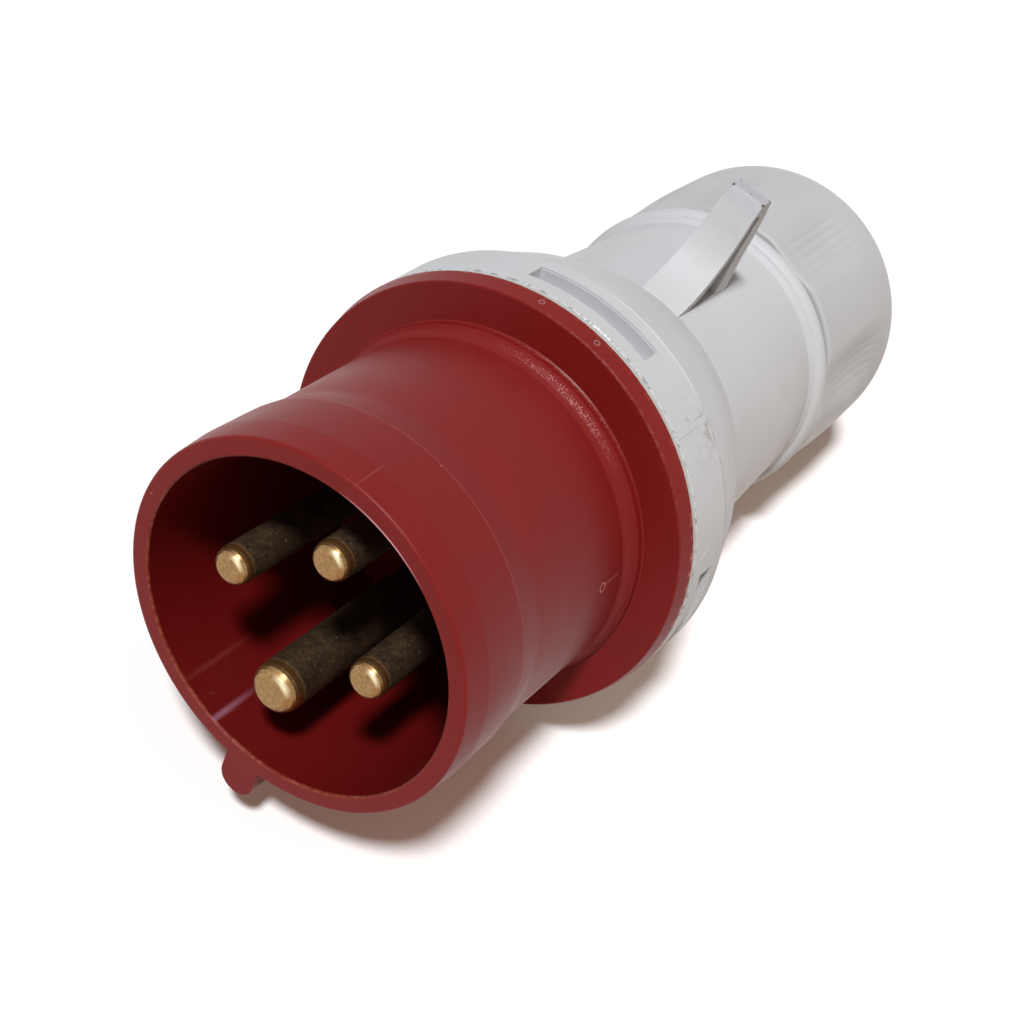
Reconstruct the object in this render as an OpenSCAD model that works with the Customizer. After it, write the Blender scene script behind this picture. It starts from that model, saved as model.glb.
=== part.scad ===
// Industrial pin and sleeve plug, three phases and earth, lying on its side.
// Every piece is drawn along the plug's own axis: y = 0 is the rim of the sleeve,
// +y runs to the cable end and +z is opposite the key. lay() then sets the whole
// plug down on its housing ring and on two lobes of its gland nut.

/* [Sleeve] */
// Outer radius of the sleeve at its mouth
sleeve_r = 28.5; // [27:0.1:31]
// Inner radius of the sleeve
sleeve_bore_r = 25.6; // [24:0.1:26.2]
// Length of the sleeve, from the rim to the face of the flange
sleeve_len = 46.3; // [40:0.1:50]
// Extra radius of the thicker band behind the rim
band_rise = 0.4; // [0.1:0.1:0.8]
// Length of the thicker band
band_len = 13.6; // [8:0.2:18]
// Depth of the hollow around the pins
cavity_depth = 42.4; // [38:0.2:42.6]

/* [Flange] */
// Radius of the flange at its rear edge
flange_r = 37.1; // [36.6:0.1:37.6]
// How much smaller the flange is at its front edge
flange_draft = 0.7; // [0:0.1:1]
// Thickness of the flange at its edge
flange_t = 3; // [2.6:0.1:6]
// Radius of the collar at the foot of the sleeve
foot_r = 30.1; // [29.6:0.1:33]

/* [Key] */
// Width of the key under the sleeve
key_w = 6; // [4:0.2:8]
// Radius at which the key ends
key_reach = 34.6; // [33:0.1:36]

/* [Pins] */
// Angle of each pin from the side opposite the key: three phases, then earth
pin_angles = [-87, 3, 93, 180];
// Distance of each pin from the axis, as the loose pins lie
pin_reach = [13.1, 12.9, 11.9, 12.7];
// Diameter of a phase pin
phase_d = 6; // [5:0.1:6.4]
// Diameter of the earth pin
earth_d = 8; // [7:0.1:8.4]
// Distance of the phase tips behind the rim
phase_setback = 1.8; // [1:0.1:8]
// Distance of the earth tip behind the rim
earth_setback = 0.6; // [0.4:0.1:6]

/* [Housing] */
// Greatest radius of the housing ring
ring_r = 37.5; // [37.2:0.1:39]
// Length of the housing ring
ring_len = 11.1; // [10:0.1:13]
// Length of the cone behind the ring
cone_len = 20.3; // [18:0.1:26]
// Radius where the cone ends
shoulder_r = 30.9; // [30.2:0.1:32]
// Radius of the neck at its root
neck_r = 29; // [28.4:0.1:29.6]
// Radius of the neck in front of the bead
neck_end_r = 27.6; // [27:0.1:28.4]
// Radius of the bead
bead_r = 29.6; // [29:0.1:30]
// Degrees that the housing has been turned against the sleeve
housing_turn = 4.5; // [0:0.5:8]
// Number of mould windows around the ring
windows = 4; // [2:1:6]
// Width of a window in degrees
window_arc = 34.6; // [20:0.2:40]
// Degrees between a window's middle and the lid catch
window_turn = -2; // [-6:0.5:6]

/* [Lid catch] */
// Width of the catch at its foot
catch_w = 8; // [6:0.2:10]
// Width of the catch at its tip
catch_tip_w = 6.4; // [5:0.2:8]
// Radius at the top of the catch
catch_r = 47.2; // [44:0.2:50]
// Thickness of its front strap
strap_t = 1.3; // [1:0.1:2]

/* [Gland nut] */
// Radius over the lobes
nut_r = 30.4; // [30:0.1:31]
// Radius at the bottom of a grip hollow
hollow_r = 28.5; // [28.3:0.1:29.2]
// Number of grip hollows
hollows = 7; // [5:1:9]
// Radius of the round cut that makes a hollow
hollow_cut_r = 18; // [14:1:24]
// Fine grooves in a hollow
grooves = 5; // [3:1:7]
// Degrees between two grooves
groove_step = 3.6; // [2.6:0.1:4]
// Length of the grooves
groove_len = 26; // [16:1:30]
// Length of the nut
nut_len = 42.2; // [40:0.2:46]
// Radius of the round at its cable end
nut_round = 9; // [6:0.5:9]
// Radius of the cable hole in the nut
nut_hole_r = 13; // [11:0.5:14]

/* [Gland] */
// Radius of the cable bore in the seal
cable_r = 9; // [6:0.5:11]
// Fingers on the clamp
fingers = 12; // [8:1:16]

/* [Rest] */
// Roll of the plug as it lies, in degrees
rest_roll = 5.9; // [0:0.1:8]

/* [Hidden] */

$fn = 96;
gap = 0.1;                                  // clearance between pieces that seat
over = 1;                                   // how far a cut runs past a face

flange_end = sleeve_len + flange_t;         // rear face of the flange
skirt_r = 32.4;                             // skirt that enters the housing
skirt_bore_r = 30;
skirt_end = flange_end + 9.8;
lug_r = 33.6;                               // bayonet lugs on the skirt
lug_y = flange_end + 3.8;
lug_t = 3;
pip_angles = [-5.9, 10.2];                  // two small mould marks on the flange
lug_arc = 26;
block_screw_r = 13;                         // where the two block screws stand

seal_t = 2;
ring_end = flange_end + ring_len;
cone_end = ring_end + cone_len;
seat_y = skirt_end + seal_t + gap;          // where the housing seal is pressed
neck_end = 122.4;
bead_y = 125.7;
window_len = 3.8;
window_floor_r = 34.7;
spigot_y = 127.6;
spigot_r = 26;
spigot_bore_r = 22.6;
spigot_end = 146;
wall = 2.8;

gland_seat = 128;                           // ledge that the gland seal bears on
clamp_y = spigot_end + 1.1;
clamp_base_t = 3.5;
clamp_r = 25.4;
thrust_y = clamp_y + clamp_base_t + gap;
thrust_t = 1.8;

nut_y = 129;
nut_end = nut_y + nut_len;
nut_bore_r = 26.4;
nut_ledge = thrust_y + thrust_t + gap;      // face that pushes the thrust ring
groove_y = nut_y + 2.3;                     // where the fine grooves begin
groove_w = 0.9;
groove_t = 0.15;

floor_t = 3.6;
block_y = cavity_depth + floor_t;           // rear face of the sleeve's floor
collar_t = 2;
root_rise = 0.3;                            // extra radius of a pin where it passes the floor
root_y = cavity_depth - 0.3;
barrel_len = 21;
block_len = 17;
block_r = 25;

// The plug touches the floor with its ring and with two lobes of the nut.
hollow_axis_r = hollow_r + hollow_cut_r;
hollow_half = acos((pow(nut_r, 2) + pow(hollow_axis_r, 2) - pow(hollow_cut_r, 2)) / (2 * nut_r * hollow_axis_r));
nut_rest_r = nut_r * cos(hollow_half);
nut_rest_y = nut_end - nut_round;
rest_tilt = atan((ring_r - nut_rest_r) / (nut_rest_y - ring_end));
rest_height = ring_end * sin(rest_tilt) + ring_r * cos(rest_tilt) + nut_round * (1 - cos(rest_tilt));
front_reach = -key_reach * sin(rest_tilt);
rear_reach = nut_end * cos(rest_tilt) + (nut_r - nut_round) * sin(rest_tilt);
rest_shift = -(front_reach + rear_reach) / 2;

red = [0.55, 0.13, 0.12];
grey = [0.78, 0.79, 0.79];
brass = [0.72, 0.60, 0.38];
steel = [0.70, 0.71, 0.73];
black = [0.14, 0.14, 0.15];

// Points of a round stretch from angle a to angle b.
function arc(cy, cr, r, a, b, n = 8) =
    [for (i = [0 : n]) let (t = a + (b - a) * i / n) [cr + r * cos(t), cy + r * sin(t)]];

module lay()
    translate([0, rest_shift, rest_height])
        rotate([-rest_tilt, 0, 0]) rotate([0, rest_roll, 0])
            children();

// Turns a flat profile of [radius, distance along the axis] round the plug's axis.
module turned() rotate([-90, 0, 0]) rotate_extrude() children();

// Carries a flat outline drawn across the axis from y to y + len.
module across(y, len) translate([0, y + len, 0]) rotate([90, 0, 0]) linear_extrude(len) children();

module around(angle) rotate([0, angle, 0]) children();

module at_pin(i) around(pin_angles[i]) translate([0, 0, pin_reach[i]]) children();

module at_block_screws() for (i = [0 : 1]) around(45 + 180 * i) translate([0, 0, block_screw_r]) children();

module rod(y, len, r) translate([0, y, 0]) rotate([-90, 0, 0]) cylinder(h = len, r = r);

// A wedge as seen along the axis, used to keep or cut a stretch of a ring.
module wedge(angle, reach) {
    half = angle / 2;
    polygon([[0, 0], [-reach * tan(half), reach], [reach * tan(half), reach]]);
}

module ring_part(y, len, r_in, r_out, angle) {
    intersection() {
        turned() translate([r_in, y]) square([r_out - r_in, len]);
        across(y - over, len + 2 * over) wedge(angle, r_out * 1.2);
    }
}

// ---- the red front: sleeve, key, flange and bayonet skirt in one moulding
module sleeve_profile() {
    band_r = sleeve_r + band_rise;
    front_r = flange_r - flange_draft;
    polygon(concat(
        [[sleeve_bore_r, 0.3], [sleeve_bore_r + 0.3, 0]],
        arc(0.5, sleeve_r - 0.5, 0.5, -90, 0, 4),
        [[band_r, 5], [band_r, band_len], [band_r - 0.2, band_len + 1.8],
         [sleeve_r - 0.15, band_len + 4.4], [sleeve_r - 0.2, band_len + 5.4],
         [sleeve_r + 0.4, sleeve_len - 3.9], [sleeve_r + 0.6, sleeve_len - 3.4],
         [foot_r - 0.15, sleeve_len - 1.7], [foot_r, sleeve_len - 1.4],
         [foot_r + 0.1, sleeve_len - 0.2], [foot_r + 0.3, sleeve_len], [front_r - 0.35, sleeve_len]],
        arc(sleeve_len + 0.35, front_r - 0.35, 0.35, -90, 0, 4),
        [[flange_r, flange_end], [skirt_r, flange_end], [skirt_r, skirt_end - 0.6],
         [skirt_r - 0.6, skirt_end], [skirt_bore_r, skirt_end], [skirt_bore_r, block_y],
         [0, block_y], [0, cavity_depth], [sleeve_bore_r - 0.4, cavity_depth]]));
}

module key() {
    across(0, sleeve_len + 0.6) {
        translate([0, -key_reach + key_w / 2]) circle(d = key_w);
        translate([-key_w / 2, -key_reach + key_w / 2]) square([key_w, key_reach - key_w / 2 - sleeve_r + 1.2]);
    }
}

module front_sleeve() {
    color(red) lay() difference() {
        union() {
            turned() sleeve_profile();
            key();
            for (i = [0 : 3]) around(90 * i)
                ring_part(lug_y, lug_t, skirt_r - 0.5, lug_r, lug_arc);
            at_block_screws() rod(block_y - 0.5, 6.8, 3.2);
        }
        for (i = [0 : 3]) at_pin(i)
            rod(cavity_depth - over, floor_t + 2 * over, (i == 3 ? earth_d : phase_d) / 2 + root_rise + gap / 2);
        at_block_screws() rod(block_y + 0.5, 9, 1.3);
        for (angle = pip_angles) around(angle)
            translate([0, sleeve_len + 1.7, flange_r - 0.8]) cylinder(h = 2, r = 0.3, $fn = 24);
    }
}

// ---- the insulating block that holds the terminals
module terminal_block() {
    color(black) lay() difference() {
        union() {
            rod(block_y + collar_t + gap, block_len, block_r);
            for (angle = [45, 135]) around(angle)
                translate([-0.8, block_y + collar_t, -18]) cube([1.6, block_len + 9, 36]);
        }
        for (i = [0 : 3]) at_pin(i) {
            rod(block_y, block_len + 2 * over + collar_t, i == 3 ? 6.2 : 5.3);
            translate([-2.8, block_y + 11, 0]) cube([5.6, block_len, block_r]);
        }
        at_block_screws() {
            rod(block_y, block_len + over, 2);
            rod(block_y, 6.6, 3.4);
            rod(block_y + collar_t + block_len - 3, 20, 3.4);
        }
    }
}

// ---- pins with their terminals
module pin_body(d, setback, barrel_d) {
    tip = d * 0.3;
    tip_w = d * 0.22;
    difference() {
        union() {
            turned() polygon(concat(
                [[0, setback]],
                [for (t = [0 : 15 : 90]) [d / 2 - tip_w * (1 - sin(t)), setback + tip * (1 - cos(t))]],
                [[d / 2, block_y + 0.4], [0, block_y + 0.4]]));
            rod(root_y, block_y + 0.4 - root_y, d / 2 + root_rise);
            rod(block_y + gap / 2, collar_t, barrel_d / 2 - 0.3);
            rod(block_y + collar_t, barrel_len, barrel_d / 2);
        }
        rod(block_y + collar_t + 4.5, barrel_len, d / 2 - 0.2);
        translate([0, block_y + collar_t + 14.5, 0]) cylinder(h = barrel_d, r = 2.05);
    }
}

module phase_pin(i) color(brass) lay() at_pin(i) pin_body(phase_d, phase_setback, 10.2);

module pin_l1() phase_pin(0);
module pin_l2() phase_pin(1);
module pin_l3() phase_pin(2);
module pin_earth() color(brass) lay() at_pin(3) pin_body(earth_d, earth_setback, 12);

module terminal_screw(reach) {
    y = block_y + collar_t + 14.5;
    difference() {
        union() {
            translate([0, y, 1.6]) cylinder(h = reach - 1.6 + 1, r = 2);
            translate([0, y, reach + 0.6]) cylinder(h = 3, r = 2.7);
        }
        translate([-3, y - 0.5, reach + 2.4]) cube([6, 1, 2]);
    }
}

module phase_screw(i) color(steel) lay() at_pin(i) terminal_screw(5.1);
module terminal_screw_l1() phase_screw(0);
module terminal_screw_l2() phase_screw(1);
module terminal_screw_l3() phase_screw(2);
module terminal_screw_earth() color(steel) lay() at_pin(3) terminal_screw(6);

// A curved pad that the terminal screw presses on the wire.
module wire_clamp(d) {
    translate([0, block_y + collar_t + 9.5, 0]) intersection() {
        rod(0, 10, d / 2 - 0.35);
        translate([-d, 0, 0.5]) cube([2 * d, 10, 1]);
    }
}

module phase_clamp(i) color(steel) lay() at_pin(i) wire_clamp(phase_d);
module wire_clamp_l1() phase_clamp(0);
module wire_clamp_l2() phase_clamp(1);
module wire_clamp_l3() phase_clamp(2);
module wire_clamp_earth() color(steel) lay() at_pin(3) wire_clamp(earth_d);

module block_screws() {
    head_y = block_y + collar_t + block_len - 3 + gap;
    color(steel) lay() at_block_screws() difference() {
        union() {
            rod(block_y + 1.2, head_y - block_y - 1, 1.25);
            rod(head_y, 2.4, 3);
        }
        translate([-3.5, head_y + 1.4, -0.4]) cube([7, 2, 0.8]);
    }
}

// ---- the grey rear housing
module housing_seal() {
    color(black) lay() turned()
        translate([skirt_bore_r + 0.2, skirt_end + gap / 2]) square([2.4, seal_t]);
}

module housing_profile() {
    front_r = ring_r - 0.55;
    cone_mid = (ring_end + cone_end) / 2;
    polygon(concat(
        [[skirt_r + 0.3, flange_end + gap], [front_r - 0.2, flange_end + gap],
         [front_r, flange_end + gap + 0.2], [front_r, flange_end + 1.2],
         [front_r + 0.15, flange_end + 1.35], [ring_r, ring_end - 0.1],
         [ring_r - 0.15, ring_end], [ring_r - 0.2, ring_end + 0.25],
         [(ring_r + shoulder_r) / 2 + 0.5, cone_mid]],
        arc(cone_end - 0.8, shoulder_r - 0.8, 0.8, 20, 90, 4),
        [[neck_r + 0.5, cone_end + 0.3], [neck_r, cone_end + 1.2],
         [neck_end_r, neck_end]],
        [for (t = [-80 : 20 : 160]) [bead_r - 1.7 + 1.7 * cos(t), bead_y + 2 * sin(t)]],
        [[spigot_r, spigot_y + 0.6], [spigot_r, spigot_end - 0.8], [spigot_r - 0.8, spigot_end],
         [spigot_bore_r, spigot_end], [spigot_bore_r, gland_seat], [19, gland_seat],
         [19, gland_seat - 2.5], [neck_end_r - wall, gland_seat - 6],
         [neck_r - wall, cone_end + 1.2], [shoulder_r - wall - 0.6, cone_end - 1.5],
         [skirt_r - 1.8, seat_y + 3], [skirt_r - 1.8, seat_y], [skirt_r + 0.3, seat_y],
         [skirt_r + 0.3, lug_y + lug_t + 0.6], [lug_r + 0.3, lug_y + lug_t + 0.3],
         [lug_r + 0.3, lug_y - 0.3], [skirt_r + 0.3, lug_y - 0.6]]));
}

// A curve that leaves a towards b and arrives at c.
function bend(a, b, c, n = 8) =
    [for (i = [0 : n]) let (t = i / n) (1 - t) * (1 - t) * a + 2 * t * (1 - t) * b + t * t * c];

// Side outline of the lid catch: a hollow-curved front strap that bends back to a short
// flat tip, and a steep rear leg round a three-cornered opening.
module catch_outline() {
    foot = neck_r - 1.2;
    toe = cone_end + 1.9;
    difference() {
        polygon(concat([[toe, foot]],
            bend([toe, neck_r - 0.2], [toe + 10.8, neck_r + 3.4], [toe + 12.8, catch_r - 2.8]),
            [[toe + 14.2, catch_r - 0.5], [toe + 14.7, catch_r], [toe + 17.6, catch_r],
             [toe + 18, catch_r - 0.4], [toe + 19, catch_r - 3.2], [toe + 19.4, catch_r - 6.8],
             [toe + 19.3, 36], [toe + 19.6, 32], [toe + 20.6, neck_r + 0.2], [toe + 20.6, foot]]));
        polygon(concat(
            bend([toe + 3.6 * strap_t, neck_r - 0.4], [toe + 10.8 + strap_t, neck_r + 3.6],
                 [toe + 13 + strap_t, catch_r - 2.4]),
            [[toe + 16.2, catch_r - 2.6], [toe + 15.8, catch_r - 6], [toe + 15.4, 37],
             [toe + 15.4, 33], [toe + 15.6, neck_r - 0.4]]));
    }
}

module lid_catch() {
    intersection() {
        rotate([90, 0, 90]) translate([0, 0, -catch_w / 2]) linear_extrude(catch_w) catch_outline();
        translate([0, 120, 0]) rotate([90, 0, 0]) linear_extrude(60)
            polygon([[-catch_w / 2, 20], [catch_w / 2, 20], [catch_w / 2, shoulder_r],
                     [catch_tip_w / 2, catch_r + over], [-catch_tip_w / 2, catch_r + over],
                     [-catch_w / 2, shoulder_r]]);
    }
}

module rear_housing() {
    color(grey) lay() around(housing_turn) difference() {
        union() {
            turned() housing_profile();
            lid_catch();
        }
        for (i = [0 : windows - 1]) around(360 / windows * i + window_turn) {
            ring_part(flange_end + 4.2, window_len, window_floor_r, ring_r + over, window_arc);
            ring_part(flange_end + 4.3, window_len + 0.15, ring_r - 0.4, ring_r + over, window_arc);
        }
        for (i = [0 : 3]) around(45 - housing_turn + 90 * i)
            ring_part(flange_end - over, lug_y - flange_end + over, skirt_r, lug_r + 0.3, lug_arc + 2);
    }
}

// ---- cable gland
module gland_seal() {
    color(black) lay() turned() polygon([
        [cable_r, gland_seat + 2], [cable_r + 1, gland_seat + gap], [spigot_bore_r - 0.3, gland_seat + gap],
        [spigot_bore_r - 0.3, spigot_end], [spigot_bore_r - 1.3, spigot_end + 1],
        [cable_r + 3, spigot_end + 1], [cable_r, spigot_end - 3]]);
}

module cable_clamp() {
    base_end = clamp_y + clamp_base_t;
    color(black) lay() difference() {
        turned() polygon([[16.6, clamp_y], [clamp_r, clamp_y], [clamp_r, base_end], [19.2, base_end],
            [18.6, base_end + 2], [15.6, base_end + 11], [13.6, base_end + 11], [16.6, base_end]]);
        for (i = [0 : fingers / 2 - 1]) around(360 / fingers * i)
            translate([-0.7, base_end + 0.8, -22]) cube([1.4, 12, 44]);
    }
}

module thrust_ring() {
    color(steel) lay() turned() translate([20.4, thrust_y]) square([25.4 - 20.4, thrust_t]);
}

// ---- gland nut: a turned body cut by round grip hollows with fine grooves
module nut_outline() {
    difference() {
        circle(r = nut_r);
        for (i = [0 : hollows - 1]) rotate(360 / hollows * i)
            translate([0, -hollow_axis_r]) circle(r = hollow_cut_r);
    }
}

// Distance of a hollow's surface from the axis at an angle from the hollow's middle.
function hollow_depth(angle) =
    hollow_axis_r * cos(angle) - sqrt(pow(hollow_cut_r, 2) - pow(hollow_axis_r * sin(angle), 2));

module groove_outline() {
    for (i = [0 : hollows - 1], g = [0 : grooves - 1]) {
        angle = groove_step * (g - (grooves - 1) / 2);
        rotate(360 / hollows * i + angle)
            translate([-groove_w / 2, -hollow_depth(angle) - over]) square([groove_w, over + groove_t]);
    }
}

module nut_body() {
    turned() polygon(concat(
        [[nut_bore_r, nut_y + 0.6], [nut_bore_r + 0.6, nut_y], [nut_r - 1, nut_y],
         [nut_r - 0.5, nut_y + 0.15], [nut_r, nut_y + 0.7]],
        arc(nut_end - nut_round, nut_r - nut_round, nut_round, 0, 90, 10),
        [[nut_hole_r + 1.2, nut_end], [nut_hole_r, nut_end - 1.2], [nut_hole_r, nut_end - 3.6],
         [21.4, nut_ledge + 0.6], [21.4, nut_ledge], [nut_bore_r, nut_ledge]]));
}

module gland_nut() {
    color(grey) lay() around(-rest_roll) difference() {
        nut_body();
        across(nut_y - over, nut_len) difference() {
            circle(r = nut_r + over);
            nut_outline();
        }
        across(groove_y, groove_len) groove_outline();
    }
}

front_sleeve();
terminal_block();
pin_l1();
pin_l2();
pin_l3();
pin_earth();
terminal_screw_l1();
terminal_screw_l2();
terminal_screw_l3();
terminal_screw_earth();
wire_clamp_l1();
wire_clamp_l2();
wire_clamp_l3();
wire_clamp_earth();
block_screws();
housing_seal();
rear_housing();
gland_seal();
cable_clamp();
thrust_ring();
gland_nut();
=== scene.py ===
import math

import bmesh
import bpy
from mathutils import Matrix, Vector


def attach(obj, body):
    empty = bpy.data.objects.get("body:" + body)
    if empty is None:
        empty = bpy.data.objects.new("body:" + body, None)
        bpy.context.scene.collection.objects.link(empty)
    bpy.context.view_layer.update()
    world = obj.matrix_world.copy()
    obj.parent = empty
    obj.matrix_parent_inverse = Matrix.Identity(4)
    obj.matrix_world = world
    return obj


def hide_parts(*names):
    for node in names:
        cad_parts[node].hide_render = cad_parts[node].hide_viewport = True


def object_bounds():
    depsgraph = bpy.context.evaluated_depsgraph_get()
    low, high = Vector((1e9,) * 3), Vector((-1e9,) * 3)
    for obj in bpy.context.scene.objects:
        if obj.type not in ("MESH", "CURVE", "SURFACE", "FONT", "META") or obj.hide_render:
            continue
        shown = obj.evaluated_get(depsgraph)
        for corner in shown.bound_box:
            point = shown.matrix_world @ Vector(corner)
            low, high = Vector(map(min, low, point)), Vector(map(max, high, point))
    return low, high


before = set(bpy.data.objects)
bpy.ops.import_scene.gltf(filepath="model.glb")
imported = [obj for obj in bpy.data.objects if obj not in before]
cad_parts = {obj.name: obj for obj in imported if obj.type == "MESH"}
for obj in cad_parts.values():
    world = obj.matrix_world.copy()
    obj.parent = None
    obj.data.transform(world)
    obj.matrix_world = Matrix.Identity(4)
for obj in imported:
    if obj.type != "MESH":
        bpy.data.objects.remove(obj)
cadBox = [list(corner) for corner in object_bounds()]
print("plug loaded,", len(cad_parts), "parts")

# how the plug lies, in degrees and metres: the pattern masks and the added pieces follow it
plugLie = {"tilt": 4.3796, "roll": 5.9, "shift": -0.0848460, "height": 0.0420292}
millimetre = 0.001


def plugPlace():
    tilt = Matrix.Rotation(math.radians(-plugLie["tilt"]), 4, "X")
    roll = Matrix.Rotation(math.radians(plugLie["roll"]), 4, "Y")
    return Matrix.Translation((0, plugLie["shift"], plugLie["height"])) @ (tilt @ roll)


# small helpers for node trees
def feed(tree, socket, value):
    if isinstance(value, bpy.types.NodeSocket):
        tree.links.new(value, socket)
    else:
        socket.default_value = value


def addNode(tree, kind, inputs=None, **settings):
    made = tree.nodes.new(kind)
    for name, value in settings.items():
        setattr(made, name, value)
    for name, value in (inputs or {}).items():
        feed(tree, made.inputs[name], value)
    return made


def calc(tree, operation, *values, clamp=False):
    made = addNode(tree, "ShaderNodeMath", operation=operation, use_clamp=clamp)
    for socket, value in zip(made.inputs, values):
        feed(tree, socket, value)
    return made.outputs[0]


def product(tree, first, *others):
    for other in others:
        first = calc(tree, "MULTIPLY", first, other)
    return first


def inverse(tree, value):
    return calc(tree, "DIVIDE", 1.0, value)


def vectorCalc(tree, operation, first, second, output=0):
    return addNode(tree, "ShaderNodeVectorMath", {0: first, 1: second}, operation=operation).outputs[output]


def ramp(tree, value, low, high, toLow=0.0, toHigh=1.0):
    span = {"Value": value, "From Min": low, "From Max": high, "To Min": toLow, "To Max": toHigh}
    return addNode(tree, "ShaderNodeMapRange", span, interpolation_type="SMOOTHSTEP").outputs["Result"]


def tint(tree, amount, base, paint):
    made = addNode(tree, "ShaderNodeMix", data_type="RGBA", blend_type="MIX")
    for socket, value in zip((made.inputs[0], made.inputs[6], made.inputs[7]), (amount, base, paint)):
        feed(tree, socket, value)
    return made.outputs[2]


def over(tree, colour, mask, share, paint):
    return tint(tree, calc(tree, "MULTIPLY", mask, share), colour, paint)


def noise(tree, vector, scale, detail=3.0, rough=0.5):
    inputs = {"Vector": vector, "Scale": scale, "Detail": detail, "Roughness": rough}
    return addNode(tree, "ShaderNodeTexNoise", inputs).outputs["Fac"]


def newGroup(name, inputs, outputs):
    group = bpy.data.node_groups.new(name, "ShaderNodeTree")
    for label, value in inputs.items():
        kind = "NodeSocketVector" if value is None else "NodeSocketFloat"
        socket = group.interface.new_socket(label, in_out="INPUT", socket_type=kind)
        if value is not None:
            socket.default_value = value
    for label in outputs:
        group.interface.new_socket(label, in_out="OUTPUT", socket_type="NodeSocketFloat")
    return group, group.nodes.new("NodeGroupInput").outputs, group.nodes.new("NodeGroupOutput").inputs


def useGroup(tree, group, **values):
    made = addNode(tree, "ShaderNodeGroup", node_tree=group)
    for name, value in values.items():
        feed(tree, made.inputs[name], value)
    return made.outputs


def srgb(red, green, blue):
    return tuple(c / 12.92 if c <= 0.04045 else ((c + 0.055) / 1.055) ** 2.4 for c in (red, green, blue)) + (1.0,)


# shared effects: an input with no value is a vector, the others are plain numbers
def buildPlugCoordinates():
    group, given, out = newGroup("plugCoordinates", {"Place": None}, ("Along", "Radius", "Angle"))
    parts = addNode(group, "ShaderNodeSeparateXYZ", {"Vector": given["Place"]}).outputs
    squares = [calc(group, "MULTIPLY", parts[axis], parts[axis]) for axis in ("X", "Z")]
    radius = calc(group, "SQRT", calc(group, "ADD", *squares))
    angle = calc(group, "MULTIPLY", calc(group, "ARCTAN2", parts["X"], parts["Z"]), 180 / math.pi)
    group.links.new(parts["Y"], out["Along"])     # millimetres from the rim
    group.links.new(radius, out["Radius"])        # millimetres from the axis
    group.links.new(angle, out["Angle"])          # degrees round from opposite the key
    return group


def buildMouldGrain():
    group, given, out = newGroup("mouldGrain", {"Place": None, "Grain": 0.3, "Cloud": 14.0}, ("Height", "Mottle"))
    fine = noise(group, given["Place"], inverse(group, given["Grain"]), 2.0, 0.6)
    cloud = noise(group, given["Place"], inverse(group, given["Cloud"]), 3.0, 0.55)
    group.links.new(fine, out["Height"])
    group.links.new(cloud, out["Mottle"])
    return group


def scatteredCells(group, place, size):
    cells = addNode(group, "ShaderNodeTexVoronoi", {"Vector": place, "Scale": inverse(group, size), "Randomness": 1.0})
    colour = addNode(group, "ShaderNodeSeparateColor", {"Color": cells.outputs["Color"]}).outputs
    return cells.outputs["Distance"], colour


def buildSpecks():
    group, given, out = newGroup("dustSpecks", {"Place": None, "Spacing": 6.0, "Size": 0.12, "Share": 0.3}, ("Mask",))
    distance, colour = scatteredCells(group, given["Place"], given["Spacing"])
    reach = product(group, calc(group, "DIVIDE", given["Size"], given["Spacing"]), calc(group, "ADD", colour["Green"], 0.4))
    spot = calc(group, "LESS_THAN", distance, reach)
    chosen = calc(group, "LESS_THAN", colour["Red"], given["Share"])
    group.links.new(product(group, spot, chosen), out["Mask"])
    return group


def buildBand():
    # 1 where the value lies within half a width of the middle, with a soft edge
    group, given, out = newGroup("softBand", {"Value": 0.0, "Middle": 0.0, "Width": 1.0, "Soft": 0.2}, ("Mask",))
    away = calc(group, "ABSOLUTE", calc(group, "SUBTRACT", given["Value"], given["Middle"]))
    inner = calc(group, "SUBTRACT", away, calc(group, "MULTIPLY", given["Width"], 0.5))
    faded = calc(group, "DIVIDE", inner, given["Soft"])
    group.links.new(calc(group, "SUBTRACT", 1.0, faded, clamp=True), out["Mask"])
    return group


scratchShape = {"wander": 9.0, "wanderScale": 0.05, "axis": (0.3, 0.2, 1.0), "stretch": (1.0, 0.045, 1.0), "lines": 14.0, "thin": 70.0}


def buildScratches():
    shape = scratchShape
    group, given, out = newGroup("handlingScratches", {"Place": None, "Spacing": 12.0, "Lean": 0.6, "Share": 0.5}, ("Mask",))
    drift = addNode(group, "ShaderNodeTexNoise", {"Vector": given["Place"], "Scale": shape["wanderScale"], "Detail": 1.0})
    push = vectorCalc(group, "MULTIPLY", drift.outputs["Color"], (shape["wander"],) * 3)
    bent = vectorCalc(group, "ADD", given["Place"], push)
    turned = addNode(group, "ShaderNodeVectorRotate", {"Vector": bent, "Axis": shape["axis"], "Angle": given["Lean"]}).outputs[0]
    thin = vectorCalc(group, "MULTIPLY", turned, shape["stretch"])
    lines = noise(group, thin, calc(group, "DIVIDE", shape["lines"], given["Spacing"]), 1.0, 0.4)
    away = calc(group, "ABSOLUTE", calc(group, "SUBTRACT", lines, 0.5))
    core = calc(group, "SUBTRACT", 1.0, calc(group, "MULTIPLY", away, shape["thin"]), clamp=True)
    patches = noise(group, given["Place"], inverse(group, given["Spacing"]), 2.0, 0.5)
    where = ramp(group, patches, calc(group, "SUBTRACT", 0.75, calc(group, "MULTIPLY", given["Share"], 0.3)), 0.8)
    group.links.new(product(group, core, where), out["Mask"])
    return group


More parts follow.
